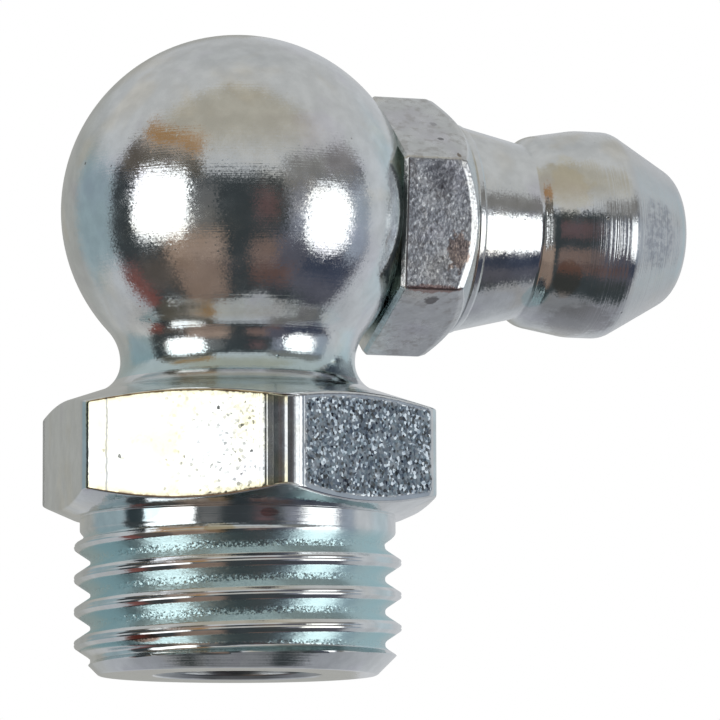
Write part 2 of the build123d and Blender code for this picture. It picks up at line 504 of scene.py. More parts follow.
def thread_rule(material):
    """A tree that makes a sleeve with a helical groove, fading out under the collar."""
    sizes = (
        "Radius", "Collar", "Pitch", "Depth", "Crest", "Flank", "Seam", "Start", "Top", "Foot",
        "End radius", "Groove start", "Groove end", "Swell start", "Swell end",
    )
    tree, given, result = new_rule("Rolled thread", sizes, ("Columns", "Pitch rows", "Rows"))
    sheet = {
        "Size X": 1.0,
        "Size Y": 1.0,
        "Vertices X": plus(tree, given["Columns"], 1.0),
        "Vertices Y": plus(tree, given["Rows"], 1.0),
    }
    grid = node(tree, "GeometryNodeMeshGrid", sheet)
    parts = split(tree, node(tree, "GeometryNodeInputPosition").outputs[0])
    turn = plus(tree, parts["X"], 0.5)
    row = maths(tree, "ROUND", times(tree, plus(tree, parts["Y"], 0.5), given["Rows"]))
    drop = minus(tree, turn, over(tree, row, given["Pitch rows"]))
    height = maths(tree, "MULTIPLY_ADD", drop, given["Pitch"], given["Start"])
    height = maths(tree, "MAXIMUM", maths(tree, "MINIMUM", height, given["Top"]), given["Foot"])

    # distance along the axis from the nearest crest, whose line follows the rows
    passed = maths(tree, "MODULO", row, given["Pitch rows"])
    nearest = maths(tree, "MINIMUM", passed, minus(tree, given["Pitch rows"], passed))
    away = times(tree, over(tree, nearest, given["Pitch rows"]), given["Pitch"])
    slope = over(tree, minus(tree, away, given["Crest"]), given["Flank"])
    crest_round = 0.12
    root_round = 0.28
    cut = maths(tree, "SMOOTH_MAX", slope, 0.0, crest_round)
    cut = maths(tree, "SMOOTH_MIN", cut, 1.0, root_round)
    seam = ramp(tree, nearest, 0.0, 1.0, given["Seam"], 0.0, smooth=False)
    groove = plus(tree, times(tree, cut, given["Depth"]), seam)
    fade = ramp(tree, height, given["Groove end"], given["Groove start"], 1.0, 0.0)
    swell = ramp(
        tree, height, given["Swell end"], given["Swell start"], given["Radius"], given["Collar"]
    )
    radius = minus(tree, swell, times(tree, groove, fade))
    chamfer = plus(tree, given["End radius"], minus(tree, height, given["Foot"]))
    radius = maths(tree, "MINIMUM", radius, chamfer)

    angle = times(tree, turn, 2 * math.pi)
    wide = times(tree, radius, maths(tree, "COSINE", angle))
    deep = times(tree, radius, maths(tree, "SINE", angle))
    moved = {"Geometry": grid.outputs["Mesh"], "Position": joined(tree, wide, deep, height)}
    bent = node(tree, "GeometryNodeSetPosition", moved)
    return end_rule(tree, result, bent.outputs[0], material)


def spring_rule(material):
    """A tree that winds an open coil."""
    sizes = ("Back", "Length", "Height", "Coil radius", "Wire radius", "Coils")
    tree, given, result = new_rule("Ball spring", sizes, ("Steps",))
    line = node(tree, "GeometryNodeCurvePrimitiveLine").outputs[0]
    divided = {"Curve": line, "Count": given["Steps"]}
    wire = node(tree, "GeometryNodeResampleCurve", divided)
    along = node(tree, "GeometryNodeSplineParameter").outputs["Factor"]
    angle = times(tree, along, given["Coils"], 2 * math.pi)
    radius = given["Coil radius"]
    place = joined(
        tree,
        maths(tree, "MULTIPLY_ADD", along, given["Length"], given["Back"]),
        times(tree, radius, maths(tree, "COSINE", angle)),
        maths(tree, "MULTIPLY_ADD", radius, maths(tree, "SINE", angle), given["Height"]),
    )
    moved = {"Geometry": wire.outputs[0], "Position": place}
    wound = node(tree, "GeometryNodeSetPosition", moved)
    round_wire = {"Resolution": 14, "Radius": given["Wire radius"]}
    section = node(tree, "GeometryNodeCurvePrimitiveCircle", round_wire)
    sweep = {"Curve": wound.outputs[0], "Profile Curve": section.outputs[0], "Fill Caps": True}
    swept = node(tree, "GeometryNodeCurveToMesh", sweep)
    return end_rule(tree, result, swept.outputs[0], material)


# ---- angle body ----

BALL_ZONE, HEX_ZONE, THREAD_ZONE, BORE_ZONE = range(4)


def body_places(body):
    """Heights and radii of the angle body, worked out from its sizes and the frame."""
    outlet = MOUNTS["grease_outlet"]["dims"]
    slope = math.tan(body.top_slope)
    peak = body.hex_height + body.hex_flat * slope
    foot_r = body.waist + body.foot * (1 - math.sin(body.top_slope))
    waist_z = peak - foot_r * slope + body.foot * math.cos(body.top_slope)
    ball_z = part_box("angle_body")[1].z - body.ball
    end = MOUNTS["shank_end"]["pos_m"][2]
    return SimpleNamespace(
        slope=slope,
        peak=peak,
        waist_z=waist_z,
        ball_z=ball_z,
        neck_lean=math.asin((ball_z - waist_z) / (body.ball + body.shoulder)),
        end=end,
        end_r=MOUNTS["shank_thread"]["dims"]["r_mm"] * MM - body.end_chamfer,
        outlet=outlet["r_mm"] * MM,
        outlet_top=end + body.mouth + outlet["length_mm"] * MM,
        head_z=MOUNTS["coupler_knob"]["pos_m"][2],
    )


def drill_tip(body, radius):
    """Depth of a drill's point."""
    return radius / math.tan(body.drill)


def body_below(body, places, sleeve_foot):
    """Outline from the top of the feed hole, down the bore and round to the thread."""
    edge = body.edge
    step = places.outlet - body.feed
    return softened([
        (0, places.head_z + drill_tip(body, body.feed), 0),
        (body.feed, places.head_z, 0),
        (body.feed, places.outlet_top + drill_tip(body, step), 0),
        (places.outlet, places.outlet_top, 0),
        (places.outlet, places.end + body.mouth, edge * 0.5),
        (places.outlet + body.mouth, places.end, edge * 0.5),
        (places.end_r, places.end, edge),
        (places.end_r + sleeve_foot - places.end, sleeve_foot, 0),
    ])


def body_above(body, places, sleeve_top, angle):
    """Outline from the thread up over the hex, the waist and the ball to its crown."""
    edge = body.edge
    reach = hexagon(body.hex_flat, body.hex_corner, angle - body.hex_turn)
    foot_centre = (body.waist + body.foot, places.waist_z)
    neck_centre = (body.waist + body.shoulder, places.waist_z)
    foot = arc(foot_centre, body.foot, -math.pi / 2 - body.top_slope, -math.pi, 16)
    neck = arc(neck_centre, body.shoulder, math.pi, math.pi - places.neck_lean, 14)
    ball = arc((0, places.ball_z), body.ball, -places.neck_lean, math.pi / 2, 84)
    lower = softened([
        (body.runout, sleeve_top, 0),
        (body.runout, 0, edge * 0.4),
        (body.hex_seat, 0, edge * 0.5),
        (reach, (reach - body.hex_seat) * math.tan(body.under_slope), edge),
        (reach, places.peak - reach * places.slope, edge),
        (*foot[0], 0),
    ])
    return lower[:-1] + foot + neck[1:] + ball[1:]


def zones_of(outline, zone_at):
    """The zone of every row of an outline, by the middle of the row."""
    return [zone_at((here + ahead) / 2) for here, ahead in zip(outline, outline[1:])]


def head_hole(body, places):
    """The cut for the head: spot face, screw hole and pilot hole about the head's axis."""
    clear = body.seat + body.ball
    outline = softened([
        (0, -body.feed - drill_tip(body, body.feed), 0),
        (body.feed, -body.feed, 0),
        (body.feed, body.hole_floor - drill_tip(body, body.hole - body.feed), 0),
        (body.hole, body.hole_floor, 0),
        (body.hole, body.seat, 0),
        (body.ball, body.seat, 0),
        (body.ball, clear, 0),
        (0, clear, 0),
    ])
    angles = even_columns(180)
    zones = [BORE_ZONE] * 4 + [BALL_ZONE] * 3
    outlines = [outline] * len(angles)
    return turned_shell("cut", angles, outlines, zones, along_x=True, height=places.head_z)


def thread_sleeve(body, thread, places, material):
    """The rolled thread as a plain mesh, with its lowest height."""
    foot = places.end + thread.plain
    start = thread.phase + thread.pitch
    turns = (start - foot) / thread.pitch + 1
    values = {
        "Radius": MOUNTS["shank_thread"]["dims"]["r_mm"] * MM,
        "Collar": body.runout,
        "Pitch": thread.pitch,
        "Depth": thread.depth,
        "Crest": thread.crest,
        "Flank": thread.flank,
        "Seam": thread.seam,
        "Start": start,
        "Top": thread.top,
        "Foot": foot,
        "End radius": places.end_r + thread.plain,
        "Groove start": thread.fade_high,
        "Groove end": thread.fade_low,
        "Swell start": thread.swell_high,
        "Swell end": thread.swell_low,
        "Columns": COLUMNS,
        "Pitch rows": thread.rows,
        "Rows": math.ceil(turns * thread.rows),
    }
    return grown(thread_rule(material), values), foot


def body_shell(body, thread, places, materials):
    """The whole angle body as one closed mesh, before the head's hole is cut."""
    angles = even_columns(COLUMNS)
    sleeve, foot = thread_sleeve(body, thread, places, materials[THREAD_ZONE])
    sleeve.materials.clear()
    sleeve.polygons.foreach_set("material_index", [THREAD_ZONE] * len(sleeve.polygons))
    below = body_below(body, places, foot)
    above = [body_above(body, places, thread.top, angle) for angle in angles]

    # where the bore's, the ball's and the hex's finishes start
    bore_edge = places.outlet + body.mouth * 0.7
    ball_foot = places.waist_z - body.foot * 0.6
    hex_edge = body.runout + body.edge * 0.3

    def zone_below(point):
        return BORE_ZONE if point[0] < bore_edge else THREAD_ZONE

    def zone_above(point):
        if point[1] > ball_foot:
            return BALL_ZONE
        return HEX_ZONE if point[0] > hex_edge else THREAD_ZONE

    lower = turned_shell("lower", angles, [below] * COLUMNS, zones_of(below, zone_below))
    # the foot arc carries the hex's finish up to where the waist begins
    flat_middle = above[int(round(math.degrees(body.hex_turn))) % COLUMNS]
    upper = turned_shell("upper", angles, above, zones_of(flat_middle, zone_above))
    return welded("body", [lower, sleeve, upper], materials)


class NIPPLE_OT_angle_body(bpy.types.Operator):
    """Make the plated angle body: ball, waist, spanner hex, thread and grease way"""

    bl_idname = "nipple.angle_body"
    bl_label = "Angle body"

    def execute(self, context):
        scene = context.scene
        body = scene.nipple_body
        places = body_places(body)
        materials = [
            turned_zinc(scene, "Turned ball zinc", "Z"),
            hex_zinc(scene),
            thread_zinc(scene),
            bore_zinc(scene),
        ]
        shell = body_shell(body, scene.nipple_thread, places, materials)
        cutter = welded("cut", [head_hole(body, places)], materials)
        tool = bpy.data.objects.new("cut", cutter)
        scene.collection.objects.link(tool)

        def dress(carrier):
            cut = carrier.modifiers.new("Head hole", "BOOLEAN")
            cut.object = tool
            cut.operation = "DIFFERENCE"
            cut.solver = "EXACT"

        piece = placed("plated_angle_body", evaluated_mesh(shell, dress))
        bpy.data.objects.remove(tool)
        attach(piece, "fitting")
        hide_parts("angle_body")
        return {"FINISHED"}


# ---- nipple head ----

TURNED_ZONE, COLLAR_ZONE, CHAMBER_ZONE = range(3)


def head_places(head, body):
    """Radii, slopes and places along the head's axis, from its sizes and the frame."""
    knob = MOUNTS["coupler_knob"]
    knob_r = knob["dims"]["r_mm"] * MM
    half_knob = knob["dims"]["length_mm"] * MM / 2
    knob_x = knob["pos_m"][0] - half_knob
    back, tip = (corner.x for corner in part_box("nipple_head"))
    groove_r = knob_r - head.groove
    groove_x = knob_x - head.barrel
    cut_x = body.seat + head.length
    front = math.tan(head.front)
    taper = math.tan(head.taper)
    return SimpleNamespace(
        height=knob["pos_m"][2],
        back=back,
        tip=tip,
        knob_r=knob_r,
        knob_x=knob_x,
        nose_x=knob["pos_m"][0] + half_knob,
        groove_r=groove_r,
        groove_x=groove_x,
        cut_x=cut_x,
        front=front,
        taper=taper,
        root_x=(head.flat - groove_r + cut_x * front - groove_x * taper) / (front - taper),
        stake_front=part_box("ball_spring")[0].x - head.stake_gap,
    )


def collar_line(head, body, places, reach, lip_x):
    """Outline from the tail over the collar and its worn lip to the ring at the cone's root."""
    edge = body.edge
    ring = head.ring

    def cone(ahead, proud=0.0):
        """A place on the cone, ahead of its root, or that much proud of it."""
        place = places.root_x + ahead
        return places.groove_r + (places.groove_x - place) * places.taper + proud, place

    # the worn lip falls off in front of the flats, and the turned ring rises at the cone's
    # root; along the axis both are laid out in shares of their own height
    return softened([
        (head.screw - head.lead, places.back, 0),
        (head.screw, places.back + head.lead, 0),
        (head.screw, body.seat, 0),
        (reach - head.burr, body.seat, 0),
        (reach, body.seat + head.burr, edge * 0.5),
        (reach, lip_x - head.lip * 1.4, edge * 0.6),
        (reach - head.lip, lip_x + head.lip * 1.7, edge * 0.4),
        (*cone(ring * 0.2, ring * 2.2), edge * 0.4),
        (*cone(ring * 1.5), edge * 0.2),
        (*cone(ring * 2.5, ring), edge * 0.3),
        (*cone(ring * 7.0, ring * 0.8), edge * 0.3),
        (*cone(ring * 8.5, -ring * 0.2), edge * 0.2),
        (*cone(ring * 10.5), 0),
    ])


def knob_line(head, body, places):
    """Outline from the cone through the coupler groove, over the knob and round the nose."""
    tip_r = places.knob_r - (places.tip - places.nose_x) * math.tan(head.nose)
    bend = math.pi / 2 - head.nose
    run = head.tip_round * math.tan(bend / 2)
    nose_centre = (tip_r - run, places.tip - head.tip_round)
    nose_round = arc(nose_centre, head.tip_round, head.nose, math.pi / 2, 12)
    middle_x = (places.groove_x + places.root_x) / 2
    middle_r = places.groove_r + (places.groove_x - middle_x) * places.taper
    rise_r = places.groove_r + head.rise_length * math.tan(head.rise)
    barrel = softened([
        (middle_r, middle_x, 0),
        (places.groove_r, places.groove_x, body.edge),
        (rise_r, places.groove_x + head.rise_length, head.blend),
        (places.knob_r, places.knob_x, head.blend),
        (places.knob_r, places.nose_x, head.blend),
        (*nose_round[0], 0),
    ], steps=5)
    return barrel[:-1] + nose_round


def bore_line(head, body, places, nose_end):
    """Outline from the mouth through the ball's seat and the valve chamber to the tail."""
    seat_x = places.tip - head.land
    stake_back = places.stake_front - head.stake_length
    return softened([
        (*nose_end, 0),
        (head.mouth, places.tip, body.edge * 0.6),
        (head.mouth, seat_x, 0),
        (head.bore, seat_x - (head.bore - head.mouth), 0),
        (head.bore, places.stake_front, 0),
        (head.stake, places.stake_front, 0),
        (head.stake, stake_back, 0),
        (head.counterbore, stake_back, 0),
        (head.counterbore, places.back, 0),
    ])[1:]


def head_outline(head, body, places, angle):
    """Closed outline of the head for one angle about its axis, and the zone of each row."""
    reach = hexagon(head.flat, head.corner, angle - head.turn)
    lip_x = places.cut_x - (reach - head.flat) / places.front
    outer = collar_line(head, body, places, reach, lip_x) + knob_line(head, body, places)
    inner = bore_line(head, body, places, outer[-1])
    mouth_rows = 5  # round the mouth's edge, with the outside's finish
    zones = []
    for radius, along in outer:
        on_collar = body.seat - head.burr < along < lip_x and radius > head.screw
        zones.append(COLLAR_ZONE if on_collar else TURNED_ZONE)
    zones += [TURNED_ZONE] * mouth_rows + [CHAMBER_ZONE] * (len(inner) - mouth_rows)
    return outer + inner, zones


class NIPPLE_OT_lubrication_head(bpy.types.Operator):
    """Make the plated lubrication head: collar, cone, coupler groove, knob and valve chamber"""

    bl_idname = "nipple.lubrication_head"
    bl_label = "Lubrication head"

    def execute(self, context):
        scene = context.scene
        head = scene.nipple_head
        body = scene.nipple_body
        places = head_places(head, body)
        angles = corner_columns(head.turn)
        outlines = [head_outline(head, body, places, angle)[0] for angle in angles]
        flat_zones = head_outline(head, body, places, head.turn)[1]
        materials = [
            turned_zinc(scene, "Turned head zinc", "X"),
            collar_zinc(scene),
            bore_zinc(scene),
        ]
        shell = turned_shell(
            "head", angles, outlines, flat_zones, along_x=True, height=places.height, loop=True
        )
        piece = placed("plated_nipple_head", welded("head", [shell], materials))
        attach(piece, "fitting")
        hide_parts("nipple_head")
        return {"FINISHED"}


# ---- check valve ----


class NIPPLE_OT_check_valve(bpy.types.Operator):
    """Wind the ball spring and polish the check ball"""

    bl_idname = "nipple.check_valve"
    bl_label = "Check valve"

    def execute(self, context):
        scene = context.scene
        head = scene.nipple_head
        finish = scene.nipple_finish
        low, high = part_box("ball_spring")
        steps_per_coil = 40
        values = {
            "Back": low.x + head.wire,
            "Length": high.x - low.x - 2 * head.wire,
            "Height": (low.z + high.z) / 2,
            "Coil radius": (high.y - low.y) / 2 - head.wire,
            "Wire radius": head.wire,
            "Coils": head.coils,
            "Steps": int(head.coils * steps_per_coil) + 1,
        }
        wire = bare_steel(
            "Spring wire", finish.wire, grain=12.0, gloss=(0.2, 0.35), light=(0.85, 1.05)
        )
        piece = placed("wound_ball_spring", grown(spring_rule(wire), values), sharp=60.0)
        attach(piece, "fitting")
        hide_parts("ball_spring")
        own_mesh(piece)
        ball = frame["nodes"]["check_ball"]
        polish = bare_steel(
            "Ball steel", finish.steel, grain=2.5, gloss=(0.05, 0.14), light=(0.92, 1.04)
        )
        ball.data.materials.clear()
        ball.data.materials.append(polish)
        return {"FINISHED"}


# ---- effects that the finishes share; their lengths are in millimetres ----


def crystals_group(label):
    """Small facets of the plating, each leaning its own way, a few of them far."""
    inputs = {"Point": VECTOR, "Normal": VECTOR}
    inputs.update({size: FLOAT for size in ("Size", "Tilt", "Flash", "Rise")})
    tree, given, result = new_group(label, inputs, {"Normal": VECTOR, "Shade": FLOAT})
    rarity = 12.0
    widest_lean = 2.0
    cells = cells_of(tree, given["Point"], given["Size"])
    chance = split(tree, cells["Color"])
    rare = times(tree, maths(tree, "POWER", chance["X"], rarity), given["Flash"])
    lean = maths(tree, "MULTIPLY_ADD", rare, widest_lean, widest_lean)
    tilt = times(tree, given["Tilt"], lean)
    turned = node(tree, "ShaderNodeTexWhiteNoise", {"Vector": cells["Position"]})
    way = vectors(tree, "SUBTRACT", turned.outputs["Color"], HALVES)
    way = vectors(tree, "MULTIPLY", way, joined(tree, 1.0, 1.0, given["Rise"]))
    leaning = vectors(tree, "ADD", given["Normal"], scaled(tree, way, tilt))
    normal = vectors(tree, "NORMALIZE", leaning)
    feed(tree, result, {"Normal": normal, "Shade": chance["Y"]})
    return tree


def crystals(tree, point, normal, size, tilt, flash=1.0, rise=1.0):
    """Normal and shade of the plating's facets."""
    given = {"Point": point, "Normal": normal, "Size": size, "Tilt": tilt}
    given.update({"Flash": flash, "Rise": rise})
    return effect(tree, "Zinc crystals", crystals_group, given)


def turning_group(label):
    """Fine rings that a turning tool leaves, as a height along the axis."""
    inputs = {"Point": VECTOR, "Along": FLOAT, "Spacing": FLOAT}
    tree, given, result = new_group(label, inputs, {"Height": FLOAT})
    drift = 0.05
    wander = noise(tree, given["Point"], 0.35, 1.0)
    along = maths(tree, "MULTIPLY_ADD", wander, drift, given["Along"])
    rings = lines(tree, along, over(tree, 1.0, given["Spacing"]), 3.0, 0.65)
    feed(tree, result, {"Height": rings})
    return tree


def turning(tree, point, along, spacing):
    """Height of turned rings."""
    given = {"Point": point, "Along": along, "Spacing": spacing}
    return effect(tree, "Turning rings", turning_group, given)["Height"]


def film_group(label):
    """Colour of the passivated film: mostly blue-white, in places straw or lilac."""
    inputs = {"Point": VECTOR, "Zinc": COLOUR, "Straw": COLOUR, "Lilac": COLOUR, "Tint": FLOAT}
    tree, given, result = new_group(label, inputs, {"Color": COLOUR, "Cloud": FLOAT})
    wide = noise(tree, given["Point"], 0.45, 3.0, distortion=0.4)
    cloud = noise(tree, given["Point"], 1.7, 4.0)
    straw = ramp(tree, wide, 0.52, 0.72)
    lilac = ramp(tree, wide, 0.46, 0.28)
    coloured = tinted(tree, given["Zinc"], straw, given["Tint"], given["Straw"])
    coloured = tinted(tree, coloured, lilac, given["Tint"], given["Lilac"])
    lightness = ramp(tree, cloud, 0.3, 0.75, 0.90, 1.06)
    coloured = blended(tree, 1.0, coloured, lightness, "MULTIPLY")
    feed(tree, result, {"Color": coloured, "Cloud": cloud})
    return tree


def film(tree, finish, point, tint):
    """The film's colour, and the cloud it drifts with, over a plated surface."""
    given = {"Point": point, "Tint": tint}
    given.update({"Zinc": finish.zinc, "Straw": finish.straw, "Lilac": finish.lilac})
    return effect(tree, "Plating film", film_group, given)


def specks_group(label):
    """Scattered pits and specks."""
    inputs = {"Point": VECTOR, "Spacing": FLOAT, "Size": FLOAT, "Share": FLOAT}
    tree, given, result = new_group(label, inputs, {"Mask": FLOAT})
    ragged = 0.07
    smallest = 0.2
    core = 0.4
    shift = noise(tree, given["Point"], 9.0, 2.0, output="Color")
    shift = scaled(tree, vectors(tree, "SUBTRACT", shift, HALVES), ragged)
    bent = vectors(tree, "ADD", given["Point"], shift)
    cells = cells_of(tree, bent, given["Spacing"])
    chance = split(tree, cells["Color"])
    there = maths(tree, "LESS_THAN", chance["X"], given["Share"])
    share = maths(tree, "MULTIPLY_ADD", chance["Y"], 1 - smallest, smallest)
    reach = times(tree, given["Size"], share)
    near = ramp(tree, cells["Distance"], reach, times(tree, reach, core))
    feed(tree, result, {"Mask": times(tree, there, near)})
    return tree


def specks(tree, point, spacing, size, share):
    """Mask of scattered specks."""
    given = {"Point": point, "Spacing": spacing, "Size": size, "Share": share}
    return effect(tree, "Specks", specks_group, given)["Mask"]


def spot_group(label):
    """One ragged spot at a place on the surface."""
    inputs = {place: VECTOR for place in ("Point", "Centre", "Half size")}
    inputs.update({"Ragged": FLOAT, "Grain": FLOAT})
    tree, given, result = new_group(label, inputs, {"Mask": FLOAT})
    swing = 4.0
    rim, core = 1.1, 0.75
    away = vectors(tree, "SUBTRACT", given["Point"], given["Centre"])
    away = vectors(tree, "LENGTH", vectors(tree, "DIVIDE", away, given["Half size"]))
    shake = minus(tree, noise(tree, given["Point"], given["Grain"], 4.0, 0.6), 0.5)
    reach = maths(tree, "MULTIPLY_ADD", shake, times(tree, given["Ragged"], swing), away)
    feed(tree, result, {"Mask": ramp(tree, reach, rim, core)})
    return tree


def spot(tree, point, centre, half_size, ragged, grain):
    """Mask of one ragged spot."""
    given = {"Point": point, "Centre": centre, "Half size": half_size}
    given.update({"Ragged": ragged, "Grain": grain})
    return effect(tree, "Ragged spot", spot_group, given)["Mask"]


def stained(tree, point, tint, centre, half_size, strength, shade, ragged, grain):
    """A colour with one ragged stain on it."""
    mask = spot(tree, point, centre, half_size, ragged, grain)
    return tinted(tree, tint, mask, strength, shade)


def flats_group(label):
    """Which flat of a hexagon about Z a point is on, and its place across that flat."""
    outputs = {measure: FLOAT for measure in ("Flat", "Across", "Reach", "Height")}
    tree, given, result = new_group(label, {"Point": VECTOR, "Turn": FLOAT}, outputs)
    parts = split(tree, given["Point"])
    angle = minus(tree, maths(tree, "ARCTAN2", parts["Y"], parts["X"]), given["Turn"])
    flat = maths(tree, "ROUND", over(tree, angle, SIXTH))
    rest = minus(tree, angle, times(tree, flat, SIXTH))
    reach = vectors(tree, "LENGTH", joined(tree, parts["X"], parts["Y"]))
    across = times(tree, reach, maths(tree, "SINE", rest))
    measured = {"Flat": flat, "Across": across, "Reach": reach, "Height": parts["Z"]}
    feed(tree, result, measured)
    return tree


# ---- finishes; places on a piece are in millimetres from the frame's origin ----


def metal_material(label, shade):
    """Starts a metal material; returns its tree, shader and surface point in millimetres."""
    material = bpy.data.materials.new(label)
    material.use_nodes = True
    material.diffuse_color = (*shade, 1.0)
    tree = material.node_tree
    tree.nodes.clear()
    output = tree.nodes.new("ShaderNodeOutputMaterial")
    shader = node(tree, "ShaderNodeBsdfPrincipled", {"Metallic": 1.0, "Base Color": shade})
    tree.links.new(shader.outputs[0], output.inputs["Surface"])
    place = tree.nodes.new("ShaderNodeTexCoord")
    return material, tree, shader, scaled(tree, place.outputs["Object"], 1 / MM)


def drifting(tree, cloud, low, high):
    """A value that drifts between two with a noise."""
    return ramp(tree, cloud, 0.3, 0.7, low, high)


def ridged(tree, height, depth=1.0, normal=None):
    """Normal over a relief whose depth is in millimetres."""
    bump = node(tree, "ShaderNodeBump", {"Height": height, "Distance": depth * MM})
    if normal is not None:
        tree.links.new(normal, bump.inputs["Normal"])
    return bump.outputs["Normal"]


def turned_zinc(scene, label, axis):
    """Plated turned steel with fine rings about an axis."""
    finish = scene.nipple_finish
    material, tree, shader, point = metal_material(label, finish.zinc)
    depth = 0.0022
    coarse_depth = 0.006
    pit_depth = 0.01
    parts = split(tree, point)
    rings = turning(tree, point, parts[axis], spacing=0.07)
    coat = film(tree, finish, point, 0.5)
    pits = specks(tree, point, spacing=0.9, size=0.10, share=0.35)
    tint = tinted(tree, coat["Color"], pits, 0.75, finish.pit)
    if axis == "Z":
        tint = body_film_and_reflection(tree, finish, parts, tint)
    else:
        tint = head_stains(tree, finish, point, parts, tint)
        # the knob is turned more coarsely than the cone
        knob_start, knob_full = 10.2, 10.7
        knob = ramp(tree, parts["X"], knob_start, knob_full)
        depth = maths(tree, "MULTIPLY_ADD", knob, coarse_depth, depth)
    normal = ridged(tree, times(tree, rings, depth))
    normal = ridged(tree, minus(tree, 1.0, pits), pit_depth, normal)
    facets = crystals(tree, point, normal, size=0.045, tilt=0.022, flash=2.0)
    rough = drifting(tree, coat["Cloud"], 0.10, 0.17)
    surface = {"Base Color": tint, "Roughness": rough, "Normal": facets["Normal"]}
    feed(tree, shader.inputs, surface)
    return material


def body_film_and_reflection(tree, finish, parts, tint):
    """Greenish blue film in the neck's hollow, and a dark painted reflection of the collar round the
    head's seat.
    """
    hollow_foot, hollow_low, hollow_high, hollow_top = 3.3, 3.7, 4.3, 5.4
    reflection_start, reflection_full = 3.75, 4.15
    hollow = times(
        tree,
        ramp(tree, parts["Z"], hollow_top, hollow_high),
        ramp(tree, parts["Z"], hollow_foot, hollow_low),
    )
    tint = tinted(tree, tint, hollow, 0.6, finish.teal)
    # painted reflection: the collar's dark back, mirrored as a dark greenish ring on the ball round
    # the head's seat
    seat = ramp(tree, parts["X"], reflection_start, reflection_full)
    return tinted(tree, tint, seat, 0.85, (0.22, 0.29, 0.27))


def head_stains(tree, finish, point, parts, tint):
    """Stains of the groove, the nose and the knob's underside, and the nose's dull end."""
    stain = partial(stained, tree, point)
    straw = (0.78, 0.72, 0.52)
    brown = (0.62, 0.45, 0.30)
    slate = (0.20, 0.23, 0.30)
    grey = (0.44, 0.44, 0.44)
    worn = (0.63, 0.65, 0.66)
    tint = stain(tint, (9.9, -2.2, 10.1), (0.75, 1.6, 1.1), 0.4, straw, 0.3, 2.0)
    tint = stain(tint, (9.9, -2.3, 7.5), (0.45, 1.2, 0.6), 0.5, brown, 0.2, 2.0)
    tint = stain(tint, (9.1, -1.7, 7.0), (0.4, 1.0, 0.35), 0.6, finish.teal, 0.2, 2.0)
    nose = spot(tree, point, (12.85, -2.3, 9.0), (0.75, 1.5, 1.15), 0.15, 2.0)
    mottle = ramp(tree, noise(tree, point, 5.5, 4.0), 0.38, 0.62, 0.2)
    tint = tinted(tree, tint, times(tree, nose, mottle), 0.9, slate)
    tint = stain(tint, (10.7, -1.3, 6.3), (1.1, 1.5, 0.6), 0.6, grey, 0.3, 3.0)
    nose_start, nose_full = 11.8, 12.1
    return tinted(tree, tint, ramp(tree, parts["X"], nose_start, nose_full), 0.6, worn)


# flats of the spanner hex, counted round from the head
FRONT_FLAT = -2.0
CRYSTAL_FLAT = -1.0


def near_flat(tree, place, number):
    """Mask of one flat."""
    return maths(tree, "COMPARE", place["Flat"], number, 0.4)


def inside_flat(tree, body, place):
    """Distance from a flat's top and bottom edges."""
    slope = math.tan(body.top_slope)
    peak = (body.hex_height + body.hex_flat * slope) / MM
    top = maths(tree, "MULTIPLY_ADD", place["Reach"], slope, place["Height"])
    rise = math.tan(body.under_slope)
    foot = maths(tree, "MULTIPLY_ADD", place["Reach"], rise, -body.hex_seat / MM * rise)
    return maths(tree, "MINIMUM", minus(tree, peak, top), minus(tree, place["Height"], foot))


def front_tints(tree, tint, point, front, inside, shifted, ragged):
    """Cream film on the front flat, browner at its edges, nicks, and a dark line at its left."""
    cream = (0.80, 0.77, 0.56)
    brown = (0.36, 0.30, 0.22)
    nick = (0.45, 0.40, 0.32)
    dark = (0.26, 0.27, 0.28)
    left_line = 2.45
    creamy = ramp(tree, noise(tree, point, 0.8, 2.0), 0.40, 0.70)
    creamy = maths(tree, "MAXIMUM", creamy, ramp(tree, inside, 0.45, 0.10))
    tint = blended(tree, times(tree, front, creamy), tint, cream)
    rim = times(tree, front, ramp(tree, inside, 0.16, 0.03), ramp(tree, ragged, 0.4, 0.6))
    tint = blended(tree, rim, tint, brown)
    nicks = specks(tree, point, spacing=0.9, size=0.06, share=0.14)
    tint = tinted(tree, tint, nicks, 0.5, nick)
    from_line = maths(tree, "ABSOLUTE", plus(tree, shifted, left_line))
    line = times(tree, ramp(tree, from_line, 0.05, 0.01), front)
    return tinted(tree, tint, line, 0.8, dark)


def crystal_field(tree, place, inside, shifted, margin):
    """Mask of the coarse crystals, which keep clear of their flat's edges."""
    left, right = -2.5, 2.9
    fade = 0.15
    field = times(
        tree,
        ramp(tree, plus(tree, inside, margin), 0.12, 0.22),
        ramp(tree, shifted, left, left + fade),
        ramp(tree, shifted, right, right - fade),
    )
    return times(tree, near_flat(tree, place, CRYSTAL_FLAT), field)


